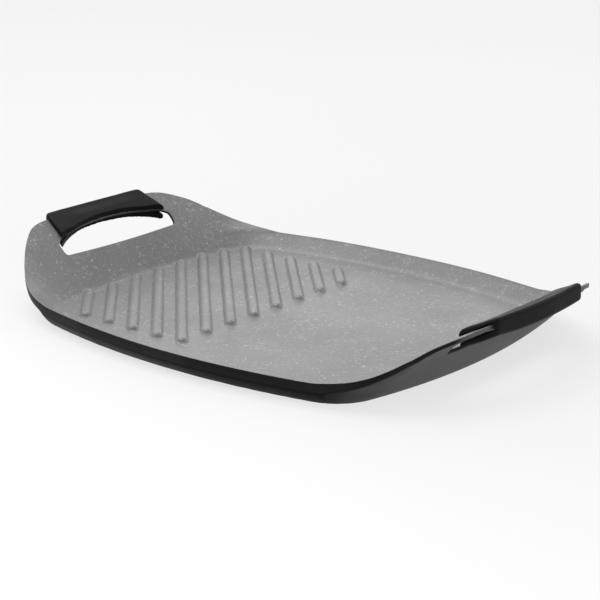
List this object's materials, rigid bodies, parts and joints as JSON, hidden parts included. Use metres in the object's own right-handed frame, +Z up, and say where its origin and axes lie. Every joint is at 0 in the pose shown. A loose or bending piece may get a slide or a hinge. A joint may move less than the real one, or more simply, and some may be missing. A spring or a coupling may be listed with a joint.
{
  "type": "double burner griddle",
  "caption": "Long cast griddle plate for two burners, with diagonal ridges on one half, low side walls and flared end walls pierced by hand slots with push-on grips.",
  "frame": {"origin": "middle of the flat resting face under the plate", "axes": "+X along the length from the ridged half towards the plain half, +Y across, +Z up"},
  "size_m": [0.486, 0.3166, 0.0644],
  "materials": {
    "coated_plate": "cast aluminium under a speckled grey stone-look non-stick coating inside and a satin dark grey coating outside",
    "grip": "satin moulded silicone rubber"
  },
  "bodies": {
    "griddle": {"griddle_body": "coated_plate"},
    "grip_l": {"left_grip": "grip"},
    "grip_r": {"right_grip": "grip"}
  },
  "joints": [
    {"name": "left_grip_pull", "type": "slide", "parent": "griddle", "child": "grip_l", "axis": [-0.8813, 0, 0.4726], "range_m": [0, 0.04]},
    {"name": "right_grip_pull", "type": "slide", "parent": "griddle", "child": "grip_r", "axis": [0.8813, 0, 0.4726], "range_m": [0, 0.04]}
  ]
}
